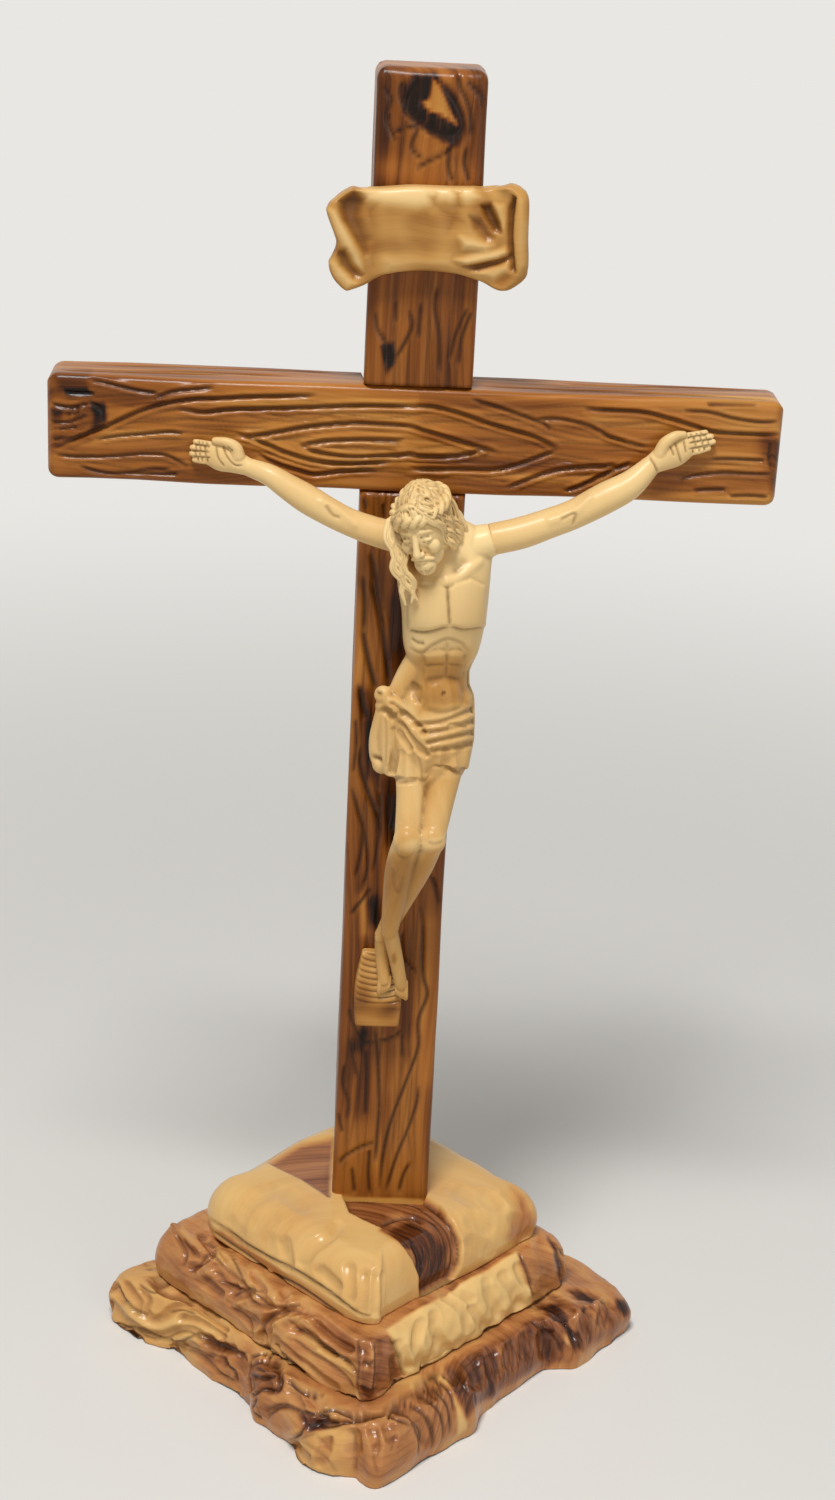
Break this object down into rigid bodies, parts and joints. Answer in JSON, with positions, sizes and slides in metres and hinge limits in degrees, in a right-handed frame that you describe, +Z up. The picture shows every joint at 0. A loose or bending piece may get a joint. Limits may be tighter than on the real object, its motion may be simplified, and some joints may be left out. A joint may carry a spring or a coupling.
{
  "type": "standing crucifix",
  "caption": "Carved wooden standing crucifix: a lapped cross with a bare title scroll and a pale carved figure, on a stepped base carved as rock.",
  "frame": {"origin": "centre of the base's underside, at table level", "axes": "+Z up along the upright, the figure faces -Y, +X to the viewer's right"},
  "size_m": [0.31, 0.257, 0.605],
  "materials": {
    "olive_base": "satin varnish over olive wood with pale sapwood and dark heartwood",
    "olive_beam": "satin varnish over orange-brown olive heartwood with dark grain",
    "pale_scroll": "satin varnish over pale yellow wood",
    "pale_figure": "smooth satin, pale cream carved wood",
    "beech_dowel": "plain turned beech, glued",
    "zinc_steel": "zinc plated"
  },
  "bodies": {
    "root": {"base_bottom_tier": "olive_base", "base_middle_tier": "olive_base", "base_top_tier": "olive_base", "tier_screws": "zinc_steel", "tier_dowels": "beech_dowel", "upright": "olive_beam", "upright_screw": "zinc_steel", "upright_washer": "zinc_steel", "crossbeam": "olive_beam", "lap_dowels": "beech_dowel", "title_scroll": "pale_scroll", "scroll_dowels": "beech_dowel", "figure_body": "pale_figure", "figure_right_arm": "pale_figure", "figure_left_arm": "pale_figure", "shoulder_dowels": "beech_dowel", "hand_dowels": "beech_dowel", "body_screw": "zinc_steel", "foot_block": "pale_figure", "foot_block_dowel": "beech_dowel"}
  },
  "joints": []
}
